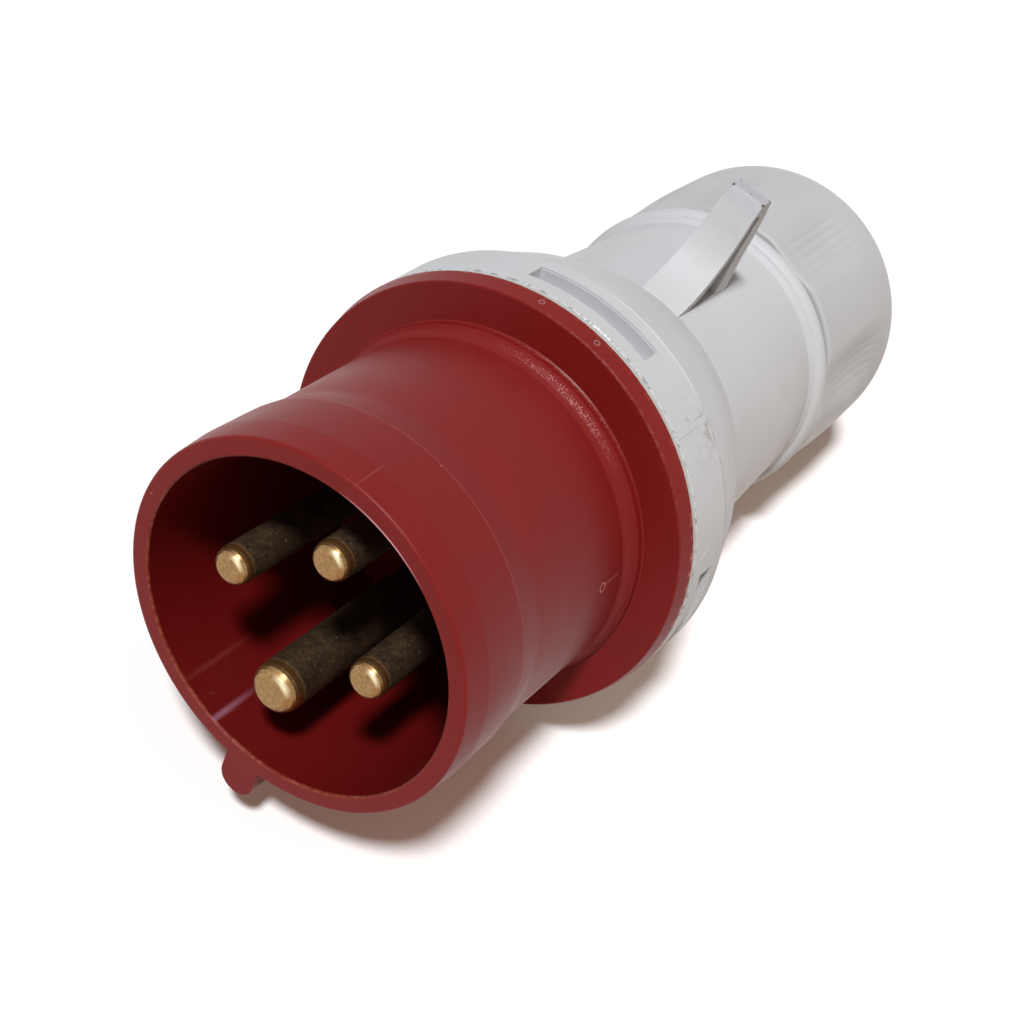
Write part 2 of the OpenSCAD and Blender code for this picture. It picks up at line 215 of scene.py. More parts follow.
def buildSpot():
    # a round mark, or a thin ring when Hollow is above zero
    group, given, out = newGroup("spotMark", {"Place": None, "Centre": None, "Size": 0.3, "Hollow": 0.0, "Soft": 0.1}, ("Mask",))
    away = vectorCalc(group, "DISTANCE", given["Place"], given["Centre"], "Value")
    inner = calc(group, "SUBTRACT", calc(group, "ABSOLUTE", calc(group, "SUBTRACT", away, given["Hollow"])), given["Size"])
    group.links.new(calc(group, "SUBTRACT", 1.0, calc(group, "DIVIDE", inner, given["Soft"]), clamp=True), out["Mask"])
    return group


def buildGlints():
    # scattered painted glints as bright grains, each about one cell wide
    group, given, out = newGroup("paintedGlints", {"Place": None, "Size": 0.3, "Share": 0.3}, ("Mask", "Height"))
    distance, colour = scatteredCells(group, given["Place"], given["Size"])
    bright = ramp(group, colour["Red"], calc(group, "SUBTRACT", 1.0, given["Share"]), 1.0)
    group.links.new(product(group, bright, ramp(group, distance, 0.15, 0.55, 1.0, 0.0)), out["Mask"])
    group.links.new(distance, out["Height"])
    return group


plugCoordinates = buildPlugCoordinates()
mouldGrain = buildMouldGrain()
dustSpecks = buildSpecks()
softBand = buildBand()
handlingScratches = buildScratches()
spotMark = buildSpot()
paintedGlints = buildGlints()
print("shared effects ready")


def startMaterial(name):
    made = bpy.data.materials.new(name)
    made.use_nodes = True
    tree = made.node_tree
    tree.nodes.clear()
    skin = tree.nodes.new("ShaderNodeBsdfPrincipled")
    out = tree.nodes.new("ShaderNodeOutputMaterial")
    tree.links.new(skin.outputs[0], out.inputs["Surface"])
    return made, tree, skin


def plugMapping(tree, extra=None):
    # Object coordinates turned into millimetres along and across the plug
    place = plugPlace() if extra is None else plugPlace() @ extra
    inputs = {"Vector": tree.nodes.new("ShaderNodeTexCoord").outputs["Object"], "Location": place.to_translation(),
              "Rotation": place.to_3x3().to_euler("XYZ"), "Scale": (millimetre,) * 3}
    return addNode(tree, "ShaderNodeMapping", inputs, vector_type="TEXTURE").outputs[0]


def finishSkin(tree, skin, colour, rough, height, strength, depth):
    tree.links.new(colour, skin.inputs["Base Color"])
    tree.links.new(rough, skin.inputs["Roughness"])
    bumped = addNode(tree, "ShaderNodeBump", {"Height": height, "Strength": strength, "Distance": depth * millimetre})
    tree.links.new(bumped.outputs[0], skin.inputs["Normal"])


def around(radius, angle, along):
    turn = math.radians(angle)
    return (radius * math.sin(turn), along, radius * math.cos(turn))


# a band is its middle, width and soft edge, in millimetres or degrees
def band(tree, value, shape):
    middle, width, soft = shape
    return useGroup(tree, softBand, Value=value, Middle=middle, Width=width, Soft=soft)["Mask"]


def patchMask(tree, where, alongBand, angleBand):
    return product(tree, band(tree, where["Along"], alongBand), band(tree, where["Angle"], angleBand))


def chipMask(tree, place, scale, detail, rough, low, high):
    return ramp(tree, noise(tree, place, scale, detail, rough), low, high)


# the red front moulding
redLook = {
    "body": srgb(0.445, 0.095, 0.088), "faceShade": srgb(0.42, 0.060, 0.055), "boreShade": srgb(0.345, 0.045, 0.042),
    "wornAndSheen": srgb(0.50, 0.155, 0.15), "scuffAndHighlight": srgb(0.80, 0.55, 0.53), "tan": srgb(0.66, 0.40, 0.30),
    "paleStreak": srgb(0.72, 0.52, 0.62), "glintAndPipPink": srgb(0.95, 0.72, 0.76),
    "gloss": 0.36, "grain": 0.2, "cloud": 16.0, "specular": 0.15,
    "rimEnd": 0.5, "boreRadius": 25.75, "sleeveRadius": 28.0, "footRadius": 28.9, "collarRadius": 30.1, "edgeRadius": 36.0, "flangeFrom": 46.5,
    "rimEdge": (25.72, 0.22, 0.12), "rimGlint": (25.98, 0.12, 0.14), "rimGlintTurn": (17.0, 9.0, 14.0),
    "flangeFrontHighlight": (46.45, 0.14, 0.14), "flangeFrontLitTurn": (25.0, 24.0, 24.0),
    "flangeRear": (49.2, 0.5, 0.3), "flangeRearTurn": (85.0, 40.0, 12.0),
    "foot": (43.9, 0.8, 0.25), "footLitTurn": (15.0, 12.0, 26.0), "glintSize": 0.2, "glintShare": 0.72,
    "footHighlightLine": (30.2, 0.04, 0.07), "footHighlightFrom": 45.6, "footHighlightTurn": (14.0, 20.0, 22.0),
    "paleStreakPatch": ((2.0, 1.6, 8.0), (-164.4, 0.5, 1.3)), "streakPatch": ((6.5, 6.0, 6.0), (-148.5, 0.2, 1.4)),
    "gate": {"Centre": around(28.85, 70.3, 36.5), "Size": 0.07, "Hollow": 0.72, "Soft": 0.12}, "gateTail": ((39.3, 3.4, 0.8), (69.8, 0.15, 0.3)),
    "pipTurns": (-5.9, 10.2), "pipRadius": 36.8, "pipAlong": 48.05, "pip": {"Size": 0.05, "Hollow": 0.40, "Soft": 0.14},
    "bandLine": (13.6, 0.1, 0.2), "nick": ((3.0, 3.6, 1.6), (2.8, 0.1, 0.3)),
    "dust": [({"Spacing": 5.5, "Size": 0.13, "Share": 0.16}, 0.5), ({"Spacing": 1.7, "Size": 0.07, "Share": 0.12}, 0.3)],
    "scratches": {"Spacing": 14.0, "Lean": 0.5, "Share": 0.35},
}


def redMaterial():
    look = redLook
    made, tree, skin = startMaterial("redPlastic")
    place = plugMapping(tree)
    where = useGroup(tree, plugCoordinates, Place=place)
    grain = useGroup(tree, mouldGrain, Place=place, Grain=look["grain"], Cloud=look["cloud"])
    along, radius, angle = where["Along"], where["Radius"], where["Angle"]
    colour = tint(tree, ramp(tree, grain["Mottle"], 0.35, 0.7, 0.0, 0.22), look["body"], look["wornAndSheen"])
    colour = over(tree, colour, ramp(tree, grain["Height"], 0.3, 0.7), 0.12, look["wornAndSheen"])
    inBore = calc(tree, "LESS_THAN", radius, look["boreRadius"])
    onFace = product(tree, calc(tree, "GREATER_THAN", radius, look["collarRadius"]), calc(tree, "LESS_THAN", along, look["flangeFrom"]))
    # painted shade: the flange face and the bore are drawn darker than the sleeve
    colour = over(tree, colour, onFace, 0.35, look["faceShade"])
    colour = over(tree, colour, inBore, 0.92, look["boreShade"])
    # worn rim and flange edges, with a painted highlight on the rim's inner edge and a painted highlight along the lit
    # part of the flange's front edge
    atRim = calc(tree, "LESS_THAN", along, look["rimEnd"])
    chips = chipMask(tree, place, 1.1, 5.0, 0.7, 0.42, 0.62)
    rimWear = calc(tree, "ADD", calc(tree, "MULTIPLY", chips, 0.6), 0.2)
    colour = over(tree, colour, product(tree, atRim, band(tree, radius, look["rimEdge"]), rimWear), 0.4, look["tan"])
    # painted highlight on one side of the rim's inner edge
    glint = product(tree, band(tree, radius, look["rimGlint"]), band(tree, angle, look["rimGlintTurn"]))
    colour = over(tree, colour, product(tree, atRim, glint), 0.65, look["glintAndPipPink"])
    # painted highlight: a broken pale line along the lit part of the flange's front edge
    flangeFrontHighlight = product(tree, band(tree, along, look["flangeFrontHighlight"]), calc(tree, "GREATER_THAN", radius, look["edgeRadius"]))
    colour = over(tree, colour, product(tree, flangeFrontHighlight, chips, band(tree, angle, look["flangeFrontLitTurn"])), 0.16, look["scuffAndHighlight"])
    ragged = chipMask(tree, place, 0.8, 5.0, 0.75, 0.5, 0.58)
    low = calc(tree, "ADD", calc(tree, "MULTIPLY", band(tree, angle, look["flangeRearTurn"]), 0.6), 0.1)
    colour = over(tree, colour, product(tree, band(tree, along, look["flangeRear"]), ragged, low), 0.8, look["scuffAndHighlight"])
    # painted sheen and painted glints on the lit side of the chamfer at the foot of the sleeve
    atFoot = product(tree, band(tree, along, look["foot"]), calc(tree, "GREATER_THAN", radius, look["footRadius"]))
    glints = useGroup(tree, paintedGlints, Place=place, Size=look["glintSize"], Share=look["glintShare"])
    footSheen = band(tree, angle, look["footLitTurn"])
    colour = over(tree, colour, product(tree, atFoot, footSheen), 0.5, look["wornAndSheen"])
    colour = over(tree, colour, product(tree, atFoot, product(tree, footSheen, footSheen), glints["Mask"]), 1.0, look["glintAndPipPink"])
    # painted highlight: a beaded pale line where the collar meets the flange face, on its lit side
    beads = chipMask(tree, place, 2.4, 3.0, 0.7, 0.45, 0.6)
    footHighlightLine = product(tree, band(tree, radius, look["footHighlightLine"]), calc(tree, "GREATER_THAN", along, look["footHighlightFrom"]))
    colour = over(tree, colour, product(tree, footHighlightLine, beads, band(tree, angle, look["footHighlightTurn"])), 0.2, look["scuffAndHighlight"])
    # marks left by the mould and by handling
    # a pale lilac streak along the bore beside the key
    colour = over(tree, colour, product(tree, inBore, patchMask(tree, where, *look["paleStreakPatch"])), 0.34, look["paleStreak"])
    colour = over(tree, colour, product(tree, inBore, patchMask(tree, where, *look["streakPatch"])), 0.1, look["tan"])
    gate = useGroup(tree, spotMark, Place=place, **look["gate"])["Mask"]
    tail = calc(tree, "MULTIPLY", patchMask(tree, where, *look["gateTail"]), 0.5)
    colour = over(tree, colour, calc(tree, "MAXIMUM", gate, tail), 0.55, look["scuffAndHighlight"])
    # mould pips, drawn as thin pale rings
    for turn in look["pipTurns"]:
        pip = useGroup(tree, spotMark, Place=place, Centre=around(look["pipRadius"], turn, look["pipAlong"]), **look["pip"])["Mask"]
        colour = over(tree, colour, pip, 0.2, look["glintAndPipPink"])
    onSleeve = calc(tree, "GREATER_THAN", radius, look["sleeveRadius"])
    colour = over(tree, colour, product(tree, band(tree, along, look["bandLine"]), onSleeve), 0.08, look["scuffAndHighlight"])
    colour = over(tree, colour, product(tree, patchMask(tree, where, *look["nick"]), onSleeve), 0.12, look["scuffAndHighlight"])
    for spread, share in look["dust"]:
        colour = over(tree, colour, useGroup(tree, dustSpecks, Place=place, **spread)["Mask"], share, look["scuffAndHighlight"])
    colour = over(tree, colour, useGroup(tree, handlingScratches, Place=place, **look["scratches"])["Mask"], 0.16, look["scuffAndHighlight"])
    rough = ramp(tree, grain["Mottle"], 0.3, 0.7, look["gloss"], look["gloss"] + 0.1)
    height = calc(tree, "ADD", grain["Height"], product(tree, atFoot, glints["Height"], 3.0))
    finishSkin(tree, skin, colour, rough, height, 0.35, 0.05)
    skin.inputs["Specular IOR Level"].default_value = look["specular"]
    return made


# the grey housing and nut
greyLook = {
    "housing": srgb(0.75, 0.755, 0.765), "nut": srgb(0.70, 0.703, 0.71), "shade": srgb(0.70, 0.70, 0.70),
    "tip": srgb(0.64, 0.635, 0.66), "bright": srgb(0.95, 0.95, 0.95), "grime": srgb(0.17, 0.16, 0.13),
    "smudge": srgb(0.45, 0.43, 0.38), "tan": srgb(0.60, 0.57, 0.44), "lilac": srgb(0.80, 0.79, 0.87),
    "gloss": 0.38, "grain": 0.28, "cloud": 22.0, "specular": 0.15,
    "scratches": {"Spacing": 16.0, "Lean": 1.1, "Share": 0.4}, "dust": {"Spacing": 7.0, "Size": 0.14, "Share": 0.1},
    "ringRadius": 36.2, "recess": ((55.4, 1.9, 0.1), (2.4, 17.4, 0.5)), "recessRadius": 36.9,
    "lip": (49.9, 0.5, 0.2), "lipLine": (50.58, 0.14, 0.14), "nicks": ((50.55, 0.25, 0.15), (7.5, 6.0, 3.0)),
    "litStep": ((60.2, 0.12, 0.14), (18.0, 22.0, 8.0)), "stepLine": ((60.4, 0.24, 0.16), (54.0, 22.0, 12.0)),
    "seams": [((53.9, 6.4, 0.6), (39.0, 0.08, 0.16)), ((58.2, 1.8, 0.8), (37.4, 0.1, 0.3))],
    "smudges": [((59.0, 0.8, 1.2), (41.5, 3.0, 4.0)), ((55.2, 0.4, 0.6), (36.5, 0.8, 0.9))],
    "haze": ((57.0, 3.0, 3.5), (42.0, 10.0, 12.0)),
    "scarLean": 1.5, "scar": (157.85, 0.25, 0.2), "scarReach": ((53.6, 2.0, 0.5), (69.5, 3.0, 1.0)),
    "catchTurn": 4.5, "tipShadeFrom": 43.5, "tipShadeTo": 46.8, "dotSoft": 0.14,
    # centre in plug coordinates and size of each dark dot at the tip of the lid catch
    "tipDots": [((-3.15, 97.2, 47.1), 0.26), ((3.15, 97.25, 47.1), 0.26), ((3.15, 100.15, 47.1), 0.34),
                ((0.2, 97.9, 47.2), 0.12), ((-3.1, 100.2, 47.1), 0.16)],
}


def housingMarks(tree, colour, place, where):
    look = greyLook
    along, radius, angle = where["Along"], where["Radius"], where["Angle"]
    torn = noise(tree, place, 0.9, 5.0, 0.75)
    recess = product(tree, patchMask(tree, where, *look["recess"]), calc(tree, "LESS_THAN", radius, look["recessRadius"]))
    colour = over(tree, colour, recess, 0.7, look["lilac"])
    onRing = calc(tree, "GREATER_THAN", radius, look["ringRadius"])
    colour = over(tree, colour, product(tree, band(tree, along, look["lip"]), onRing), 0.35, look["tan"])
    colour = over(tree, colour, product(tree, band(tree, along, look["lipLine"]), ramp(tree, torn, 0.48, 0.58)), 0.6, look["grime"])
    nicks = product(tree, patchMask(tree, where, *look["nicks"]), chipMask(tree, place, 2.2, 3.0, 0.7, 0.5, 0.56))
    colour = over(tree, colour, nicks, 0.9, look["bright"])
    colour = over(tree, colour, patchMask(tree, where, *look["litStep"]), 0.5, look["bright"])
    stepLine = product(tree, patchMask(tree, where, *look["stepLine"]), ramp(tree, torn, 0.38, 0.5))
    colour = over(tree, colour, stepLine, 0.9, look["grime"])
    seams = calc(tree, "MAXIMUM", *(patchMask(tree, where, *spot) for spot in look["seams"]))
    colour = over(tree, colour, seams, 0.35, look["smudge"])
    cloudy = chipMask(tree, place, 0.7, 5.0, 0.75, 0.4, 0.68)
    smudges = calc(tree, "MAXIMUM", *(patchMask(tree, where, *spot) for spot in look["smudges"]))
    colour = over(tree, colour, product(tree, smudges, cloudy), 0.6, look["smudge"])
    colour = over(tree, colour, product(tree, patchMask(tree, where, *look["haze"]), cloudy), 0.16, look["smudge"])
    slanted = calc(tree, "ADD", along, calc(tree, "MULTIPLY", angle, look["scarLean"]))
    scar = product(tree, band(tree, slanted, look["scar"]), patchMask(tree, where, *look["scarReach"]))
    colour = over(tree, colour, scar, 0.9, look["bright"])
    # painted shade: the top of the lid catch drawn darker
    colour = over(tree, colour, ramp(tree, radius, look["tipShadeFrom"], look["tipShadeTo"]), 0.8, look["tip"])
    tipFrame = plugMapping(tree, Matrix.Rotation(math.radians(look["catchTurn"]), 4, "Y"))
    for centre, size in look["tipDots"]:
        dot = useGroup(tree, spotMark, Place=tipFrame, Centre=centre, Size=size, Soft=look["dotSoft"])["Mask"]
        colour = over(tree, colour, dot, 0.95, look["grime"])
    return colour


def greyMaterial(name, base, onHousing):
    look = greyLook
    made, tree, skin = startMaterial(name)
    place = plugMapping(tree)
    grain = useGroup(tree, mouldGrain, Place=place, Grain=look["grain"], Cloud=look["cloud"])
    colour = tint(tree, ramp(tree, grain["Mottle"], 0.35, 0.75, 0.0, 0.35), base, look["shade"])
    colour = over(tree, colour, useGroup(tree, handlingScratches, Place=place, **look["scratches"])["Mask"], 0.2, look["bright"])
    colour = over(tree, colour, useGroup(tree, dustSpecks, Place=place, **look["dust"])["Mask"], 0.4, look["smudge"])
    if onHousing:
        colour = housingMarks(tree, colour, place, useGroup(tree, plugCoordinates, Place=place))
    colour = over(tree, colour, ramp(tree, grain["Height"], 0.35, 0.65), 0.12, look["shade"])
    rough = ramp(tree, grain["Mottle"], 0.3, 0.7, look["gloss"], look["gloss"] + 0.1)
    finishSkin(tree, skin, colour, rough, grain["Height"], 0.3, 0.05)
    skin.inputs["Specular IOR Level"].default_value = look["specular"]
    return made


# brass pins: bands along and across are in shares of the pin's diameter, counted from its tip and its own axis
brassLook = {
    "clean": srgb(0.57, 0.44, 0.285), "bright": srgb(0.67, 0.535, 0.36), "glint": srgb(1.0, 0.94, 0.78),
    "ring": srgb(0.56, 0.36, 0.17), "tarnish": srgb(0.31, 0.235, 0.155), "dark": srgb(0.135, 0.10, 0.07), "spot": srgb(0.62, 0.51, 0.35),
    "ragged": 0.1, "shaftFrom": 0.30, "shaftTo": 0.42, "roundFrom": 0.27, "roundTo": 0.33, "collar": (0.28, 0.04, 0.08),
    "glintBand": (0.37, 0.02, 0.06), "glintTurn": (28.0, 14.0, 34.0), "ringTurn": (110.0, 40.0, 50.0), "faceFrom": 0.25, "faceTo": 0.29,
    "stretch": (1.0, 1.7, 1.0), "turning": 22.0,
    "flecks": {"Spacing": 0.7, "Size": 0.09, "Share": 0.3}, "pits": {"Spacing": 1.3, "Size": 0.12, "Share": 0.14},
    "faceGloss": 0.26, "shaftGloss": 0.5, "faceMetal": 0.85, "shaftMetal": 0.35,
}
# material, angle and distance from the axis, setback of the tip and diameter, in degrees and millimetres
pinPlan = {"pin_l1": ("brassL1", -87, 13.1, 1.8, 6.0), "pin_l2": ("brassL2", 3, 12.9, 1.8, 6.0), "pin_l3": ("brassL3", 93, 11.9, 1.8, 6.0),
           "pin_earth": ("brassEarth", 180, 12.7, 0.6, 8.0)}


def brassMaterial(name, turn, reach, tip, size):
    look = brassLook
    made, tree, skin = startMaterial(name)
    place = plugMapping(tree, Matrix.Translation(around(reach * millimetre, turn, 0.0)))
    where = useGroup(tree, plugCoordinates, Place=place)
    radius, angle = where["Radius"], where["Angle"]

    def sized(shape, start=0.0):
        middle, width, soft = shape
        return (start + size * middle, size * width, size * soft)

    ragged = calc(tree, "MULTIPLY", calc(tree, "SUBTRACT", noise(tree, place, 1.3, 4.0, 0.7), 0.5), size * look["ragged"])
    along = calc(tree, "ADD", where["Along"], ragged)
    shaft = ramp(tree, along, tip + size * look["shaftFrom"], tip + size * look["shaftTo"])
    rounded = product(tree, ramp(tree, radius, size * look["roundFrom"], size * look["roundTo"]), calc(tree, "SUBTRACT", 1.0, shaft))
    # the tarnished shaft
    stretched = vectorCalc(tree, "MULTIPLY", place, look["stretch"])
    streaks = calc(tree, "MULTIPLY", noise(tree, stretched, 1.6, 7.0, 0.75), 0.65)
    blots = calc(tree, "MULTIPLY", noise(tree, place, 0.4, 4.0, 0.6), 0.35)
    aged = tint(tree, ramp(tree, calc(tree, "ADD", streaks, blots), 0.4, 0.62), look["dark"], look["tarnish"])
    aged = over(tree, aged, useGroup(tree, dustSpecks, Place=place, **look["flecks"])["Mask"], 0.6, look["spot"])
    # the clean turned tip
    face = tint(tree, ramp(tree, noise(tree, place, 1.6, 4.0, 0.6), 0.35, 0.7), look["clean"], look["bright"])
    face = over(tree, face, useGroup(tree, dustSpecks, Place=place, **look["pits"])["Mask"], 0.7, look["tarnish"])
    # painted shade on one side of the rounded edge, and a dark collar line where the tip meets the shaft
    face = over(tree, face, product(tree, rounded, band(tree, angle, look["ringTurn"])), 0.6, look["ring"])
    face = over(tree, face, band(tree, along, sized(look["collar"], tip)), 0.6, look["ring"])
    glint = product(tree, band(tree, radius, sized(look["glintBand"])), band(tree, angle, look["glintTurn"]))
    face = over(tree, face, product(tree, glint, rounded), 0.9, look["glint"])
    colour = tint(tree, shaft, face, aged)
    onFace = ramp(tree, radius, size * look["faceFrom"], size * look["faceTo"], 1.0, 0.0)
    rough = calc(tree, "ADD", ramp(tree, shaft, 0.0, 1.0, look["faceGloss"], look["shaftGloss"]), calc(tree, "MULTIPLY", onFace, 0.22))
    grain = product(tree, noise(tree, stretched, 2.4, 4.0, 0.7), ramp(tree, shaft, 0.0, 1.0, 0.5, 1.6))
    rings = product(tree, calc(tree, "SINE", calc(tree, "MULTIPLY", radius, look["turning"])), onFace, 0.12)
    finishSkin(tree, skin, colour, rough, calc(tree, "ADD", grain, rings), 0.5, 0.06)
    tree.links.new(ramp(tree, shaft, 0.0, 1.0, look["faceMetal"], look["shaftMetal"]), skin.inputs["Metallic"])
    return made


# hidden and rear parts
plainLook = {"cloud": 5.0, "dust": {"Spacing": 3.0, "Size": 0.12, "Share": 0.2}, "dustPaint": srgb(0.62, 0.60, 0.56), "dustShare": 0.35}


def plainMaterial(name, base, paint, metal, gloss, grainSize):
    look = plainLook
    made, tree, skin = startMaterial(name)
    place = plugMapping(tree)
    grain = useGroup(tree, mouldGrain, Place=place, Grain=grainSize, Cloud=look["cloud"])
    colour = tint(tree, ramp(tree, grain["Mottle"], 0.35, 0.7), base, paint)
    colour = over(tree, colour, useGroup(tree, dustSpecks, Place=place, **look["dust"])["Mask"], look["dustShare"], look["dustPaint"])
    rough = ramp(tree, grain["Mottle"], 0.3, 0.7, gloss, gloss + 0.12)
    finishSkin(tree, skin, colour, rough, grain["Height"], 0.4, 0.05)
    skin.inputs["Metallic"].default_value = metal
    return made


redPlastic = redMaterial()
greyPlastic = greyMaterial("greyPlastic", greyLook["housing"], True)
greyNutPlastic = greyMaterial("greyNutPlastic", greyLook["nut"], False)
blackPlastic = plainMaterial("blackPlastic", srgb(0.13, 0.13, 0.14), srgb(0.17, 0.17, 0.17), 0.0, 0.4, 0.3)
sealRubber = plainMaterial("sealRubber", srgb(0.10, 0.10, 0.10), srgb(0.15, 0.15, 0.145), 0.0, 0.6, 0.2)
zincSteel = plainMaterial("zincSteel", srgb(0.74, 0.75, 0.76), srgb(0.62, 0.62, 0.60), 1.0, 0.28, 0.15)   # screws and clamps too
finishes = {"front_sleeve": redPlastic, "rear_housing": greyPlastic, "gland_nut": greyNutPlastic, "terminal_block": blackPlastic,
            "cable_clamp": blackPlastic, "housing_seal": sealRubber, "gland_seal": sealRubber}
finishes.update((name, brassMaterial(*plan)) for name, plan in pinPlan.items())
for name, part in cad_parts.items():
    finish = finishes.get(name, zincSteel)
    for place in part.material_slots:
        place.material = finish
    if not part.material_slots:
        part.data.materials.append(finish)
print("finishes on every part")


# added pieces, drawn in millimetres along the plug and then laid down with it
def addObject(name, data):
    made = bpy.data.objects.new(name, data)
    bpy.context.scene.collection.objects.link(made)
    return made


def smoothMesh(bm, name, sharp):
    mesh = bpy.data.meshes.new(name)
    bm.to_mesh(mesh)
    bm.free()
    if "custom_normal" in mesh.attributes:
        mesh.attributes.remove(mesh.attributes["custom_normal"])
    mesh.polygons.foreach_set("use_smooth", [True] * len(mesh.polygons))
    mesh.set_sharp_from_angle(angle=math.radians(sharp))
    return mesh


def layDown(bm, name, finish, body, sharp=60):
    bmesh.ops.transform(bm, matrix=plugPlace() @ Matrix.Scale(millimetre, 4), verts=bm.verts)
    made = addObject(name, smoothMesh(bm, name, sharp))
    made.data.materials.append(finish)
    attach(made, body)
    return made


# a closed outline of (radius, along) pairs, ready to be turned round the plug's axis
def closedOutline(bm, outline):
    corners = [bm.verts.new((0, along, radius)) for radius, along in outline]
    edges = [bm.edges.new((a, b)) for a, b in zip(corners, corners[1:] + corners[:1])]
    return {"geom": corners + edges, "cent": (0, 0, 0), "axis": (0, 1, 0)}


threadShape = {"from": 130.0, "turns": 4.4, "pitch": 3.0, "root": 25.9, "crest": 26.28, "foot": 1.3, "top": 0.5, "steps": 72}


def spigotThread():
    shape = threadShape
    bm = bmesh.new()
    profile = [(shape["root"], -shape["foot"]), (shape["crest"], -shape["top"]), (shape["crest"], shape["top"]), (shape["root"], shape["foot"])]
    turned = closedOutline(bm, [(radius, shape["from"] + wide / 2) for radius, wide in profile])
    count = int(shape["turns"] * shape["steps"])
    whole = math.radians(360 * count / shape["steps"])
    bmesh.ops.spin(bm, **turned, dvec=(0, shape["pitch"] / shape["steps"], 0), angle=whole, steps=count, use_merge=False)
    bmesh.ops.holes_fill(bm, edges=[edge for edge in bm.edges if edge.is_boundary], sides=4)
    bmesh.ops.recalc_face_normals(bm, faces=bm.faces)
    return layDown(bm, "spigotThread", greyPlastic, "plug_body")


spigotThread()
print("thread added")

softHousing = {"merge": 2e-6, "sharp": 19}   # metres and degrees


def smoothHousing():
    # the same shape with its curved faces shaded as one
    bm = bmesh.new()
    bm.from_mesh(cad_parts["rear_housing"].data)
    bmesh.ops.remove_doubles(bm, verts=bm.verts, dist=softHousing["merge"])
    made = addObject("smoothHousing", smoothMesh(bm, "smoothHousing", softHousing["sharp"]))
    made.data.materials.clear()
    made.data.materials.append(greyPlastic)
    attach(made, "plug_body")
    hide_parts("rear_housing")


nutShape = {
    "front": 129.0, "rear": 171.17, "reach": 30.4, "bore": 26.4, "ledge": 152.6, "shaft": 21.4, "hole": 13.0,
    "round": 9.0, "lip": 0.8, "frontEdge": 1.2, "boreEdge": 0.6, "boreWall": 1.2, "holeEdge": 1.2, "holeDepth": 3.6,
    "sideFrom": 1.6, "sideStep": 0.8, "sideRings": 40, "lipPoints": 7, "roundPoints": 16, "columns": 576, "merge": 1e-4, "sharp": 40,
    "hollows": 7, "first": 19.8, "cutAway": 46.5, "cut": 18.0, "blend": 1.5, "taper": 0.9, "taperTo": 150.0, "fade": (145.0, 162.0), "foot": 149.0,
    "grooves": 5, "step": 3.6, "grooveWide": 2.8, "grooveDeep": 0.17, "grooveWorn": 0.4, "grooveStart": (131.4, 133.4), "grooveEnd": (154.5, 157.5),
}


def softStep(value, low, high):
    share = min(max((value - low) / (high - low), 0.0), 1.0)
    return share * share * (3 - 2 * share)


def quarterTurn(points):
    return [math.radians(90 / (points - 1) * i) for i in range(points)]


def softNutRadius(radius, along, angle):
    shape = nutShape
    period = 360 / shape["hollows"]
    off = (angle - shape["first"] + period / 2) % period - period / 2
    radius -= shape["taper"] * (1 - softStep(along, shape["front"], shape["taperTo"]))
    side = shape["cutAway"] * math.sin(math.radians(off))
    if abs(side) < shape["cut"]:
        limit = shape["cutAway"] * math.cos(math.radians(off)) - math.sqrt(shape["cut"] ** 2 - side ** 2)
        share = min(max(0.5 + 0.5 * (limit - radius) / shape["blend"], 0.0), 1.0)
        hollow = limit + (radius - limit) * share - shape["blend"] * share * (1 - share)
        fade = softStep(along, *shape["fade"]) if abs(angle) < shape["foot"] else 0.0   # the foot keeps its hollow
        radius = hollow + (radius - hollow) * fade
    nearest = round(off / shape["step"])
    if abs(nearest) <= shape["grooves"] // 2:
        across = (off - nearest * shape["step"]) / shape["grooveWide"]
        ends = softStep(along, *shape["grooveStart"]) * (1 - softStep(along, *shape["grooveEnd"]))
        depth = shape["grooveDeep"] * (1.0 if abs(angle - shape["first"]) < period / 2 else shape["grooveWorn"])
        radius -= depth * ends * math.cos(math.pi * min(abs(across), 0.5)) ** 2
    return radius


def nutOutline():
    shape = nutShape
    front, rear, reach, bore, edge, lip, bend = (shape[key] for key in ("front", "rear", "reach", "bore", "boreEdge", "lip", "round"))
    outline = [(bore, shape["ledge"]), (bore, front + edge), (bore + edge, front)]
    outline += [(reach - lip * (1 - math.sin(t)), front + lip * (1 - math.cos(t))) for t in quarterTurn(shape["lipPoints"])]
    outline += [(reach, front + shape["sideFrom"] + shape["sideStep"] * i) for i in range(shape["sideRings"])]
    outline += [(reach - bend + bend * math.cos(t), rear - bend * (1 - math.sin(t))) for t in quarterTurn(shape["roundPoints"])]
    outline += [(shape["hole"] + shape["holeEdge"], rear), (shape["hole"], rear - shape["holeEdge"]), (shape["hole"], rear - shape["holeDepth"])]
    return outline + [(shape["shaft"], shape["ledge"] + edge), (shape["shaft"], shape["ledge"])]


def softNut():
    shape = nutShape
    bm = bmesh.new()
    bmesh.ops.spin(bm, **closedOutline(bm, nutOutline()), angle=math.radians(360), steps=shape["columns"], use_merge=True)
    bmesh.ops.remove_doubles(bm, verts=bm.verts, dist=shape["merge"])
    for vert in bm.verts:
        radius, along = math.hypot(vert.co.x, vert.co.z), vert.co.y
        if radius < shape["bore"] + shape["boreWall"] and along < shape["rear"] - shape["round"]:
            continue
        inset = shape["reach"] - radius if along < shape["front"] + shape["frontEdge"] else 0.0
        angle = math.degrees(math.atan2(vert.co.x, vert.co.z))
        wanted = softNutRadius(radius + inset, along, angle) - inset
        vert.co.x *= wanted / radius
        vert.co.z *= wanted / radius
    bmesh.ops.recalc_face_normals(bm, faces=bm.faces)
    made = layDown(bm, "softNut", greyNutPlastic, "gland_nut", shape["sharp"])
    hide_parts("gland_nut")


smoothHousing()
softNut()
print("housing and nut softened")

